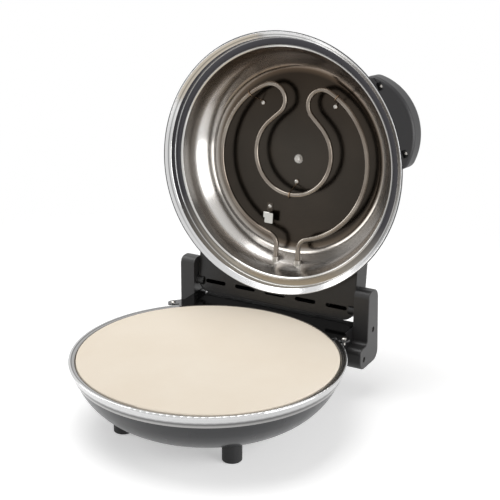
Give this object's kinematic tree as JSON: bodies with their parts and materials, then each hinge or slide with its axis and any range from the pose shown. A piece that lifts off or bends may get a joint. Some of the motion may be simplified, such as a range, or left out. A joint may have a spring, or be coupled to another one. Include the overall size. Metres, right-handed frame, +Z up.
{
  "type": "electric pizza maker",
  "caption": "Countertop pizza oven: round bowl base with a chrome rim and a baking stone, and a domed lid with heater, reflector, handle and dial on a rear hinge.",
  "frame": {"origin": "middle of the baking stone's top face", "axes": "+Z up, -Y the front, +Y the hinge side, +X the right seen from the front; at rest the lid is open"},
  "size_m": [0.351, 0.4406, 0.4505],
  "materials": {
    "bowl_paint": "satin charcoal paint",
    "rim_chrome": "polished",
    "baking_stone": "matte, fine grained",
    "pan_steel": "bright rolled",
    "tube_steel": "heat-tinted satin",
    "clip_steel": "satin",
    "insulator": "matte",
    "foot_rubber": "matte",
    "screw_steel": "bright plated",
    "bracket_paint": "satin black paint",
    "cover_paint": "gloss black enamel",
    "upright_plastic": "fine matte texture",
    "pin_steel": "ground",
    "lid_paint": "satin charcoal paint",
    "lid_chrome": "polished",
    "reflector_steel": "mirror polished cone, darker satin disk",
    "wire_steel": "heat-tinted",
    "tab_steel": "bright",
    "cutout_alloy": "satin",
    "housing_plastic": "matte black",
    "panel_plastic": "semi-gloss black",
    "handle_plastic": "fine matte texture",
    "dial_plastic": "matte black",
    "lamp_lens": "clear red"
  },
  "bodies": {
    "base": {"base_bowl": "bowl_paint", "base_ring": "rim_chrome", "pizza_stone": "baking_stone", "lower_reflector": "pan_steel", "lower_heating_element": "tube_steel", "lower_element_clips": "clip_steel", "lower_terminal_bushes": "insulator", "rubber_feet": "foot_rubber", "foot_screws": "screw_steel", "hinge_bracket": "bracket_paint", "bracket_cover": "cover_paint", "cover_screws": "screw_steel", "bracket_bowl_screws": "screw_steel", "upright_left": "upright_plastic", "upright_right": "upright_plastic", "upright_screws": "screw_steel", "hinge_pin_left": "pin_steel", "hinge_pin_right": "pin_steel"},
    "lid": {"lid_shell": "lid_paint", "lid_ring": "lid_chrome", "reflector": "reflector_steel", "upper_heating_element": "tube_steel", "terminal_collars": "clip_steel", "element_hooks": "wire_steel", "hook_screws": "screw_steel", "element_tab": "tab_steel", "tab_screw": "screw_steel", "thermal_cutout": "cutout_alloy", "centre_stud": "screw_steel", "centre_spacer": "clip_steel", "centre_washer": "screw_steel", "centre_nut": "screw_steel", "hinge_housing": "housing_plastic", "housing_panel": "panel_plastic", "housing_screws": "screw_steel", "terminal_block": "insulator", "cord_gland": "housing_plastic", "handle_lower": "handle_plastic", "handle_upper": "handle_plastic", "handle_screws": "screw_steel", "handle_wall_screws": "screw_steel", "thermostat": "cutout_alloy", "indicator_lamps": "lamp_lens"},
    "dial": {"thermostat_dial": "dial_plastic"}
  },
  "joints": [
    {"name": "lid_hinge", "type": "hinge", "parent": "base", "child": "lid", "pos_m": [0, 0.1754, 0.0181], "axis": [1, 0, 0], "range_deg": [0, 96]},
    {"name": "dial_turn", "type": "hinge", "parent": "lid", "child": "dial", "pos_m": [0.15504, 0.21368, 0.26987], "axis": [0, 0.9945, -0.1045], "range_deg": [0, 270]}
  ]
}
